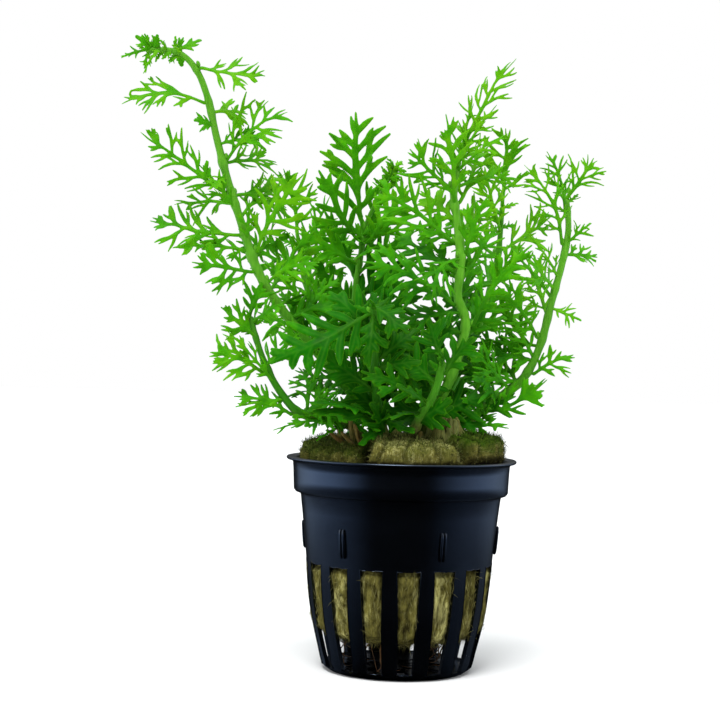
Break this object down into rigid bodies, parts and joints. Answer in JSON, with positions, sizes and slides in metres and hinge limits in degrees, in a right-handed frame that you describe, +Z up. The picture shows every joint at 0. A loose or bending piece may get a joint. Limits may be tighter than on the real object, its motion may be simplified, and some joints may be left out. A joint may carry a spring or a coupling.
{
  "type": "potted water sprite",
  "caption": "Water plant with feathery, deeply cut leaves on bending stems, planted in rock wool in a round slotted net pot.",
  "frame": {"origin": "centre of the underside of the pot", "axes": "+Z up from the pot to the leaves, the side that the picture shows faces -Y"},
  "size_m": [0.1151, 0.068, 0.1476],
  "materials": {
    "pot_plastic": "satin",
    "rock_wool": "matte",
    "stem": "satin",
    "leaf": "satin"
  },
  "bodies": {
    "root": {"net_pot": "pot_plastic", "rock_wool": "rock_wool", "stem_tall_left": "stem", "stem_low_left": "stem", "stem_back_centre": "stem", "stem_tall_right": "stem", "stem_right": "stem", "stem_back_left": "stem", "stem_back_right": "stem", "stem_front": "stem", "stem_front_left": "stem", "leaf_tall_left_1": "leaf", "leaf_tall_left_2": "leaf", "leaf_tall_left_3": "leaf", "leaf_tall_left_4": "leaf", "leaf_tall_left_5": "leaf", "leaf_tall_left_6": "leaf", "leaf_tall_left_7": "leaf", "leaf_tall_left_8": "leaf", "leaf_tall_left_9": "leaf", "leaf_low_left_1": "leaf", "leaf_low_left_2": "leaf", "leaf_low_left_3": "leaf", "leaf_low_left_4": "leaf", "leaf_back_centre_1": "leaf", "leaf_back_centre_2": "leaf", "leaf_back_centre_3": "leaf", "leaf_back_centre_4": "leaf", "leaf_back_centre_5": "leaf", "leaf_tall_right_1": "leaf", "leaf_tall_right_2": "leaf", "leaf_tall_right_3": "leaf", "leaf_tall_right_4": "leaf", "leaf_tall_right_5": "leaf", "leaf_tall_right_6": "leaf", "leaf_tall_right_7": "leaf", "leaf_tall_right_8": "leaf", "leaf_tall_right_9": "leaf", "leaf_right_1": "leaf", "leaf_right_2": "leaf", "leaf_right_3": "leaf", "leaf_right_4": "leaf", "leaf_right_5": "leaf", "leaf_right_6": "leaf", "leaf_right_7": "leaf", "leaf_right_8": "leaf", "leaf_back_left_1": "leaf", "leaf_back_left_2": "leaf", "leaf_back_left_3": "leaf", "leaf_back_left_4": "leaf", "leaf_back_left_5": "leaf", "leaf_back_right_1": "leaf", "leaf_back_right_2": "leaf", "leaf_back_right_3": "leaf", "leaf_back_right_4": "leaf", "leaf_back_right_5": "leaf", "leaf_front_1": "leaf", "leaf_front_2": "leaf", "leaf_front_left_1": "leaf", "leaf_front_left_2": "leaf"}
  },
  "joints": []
}
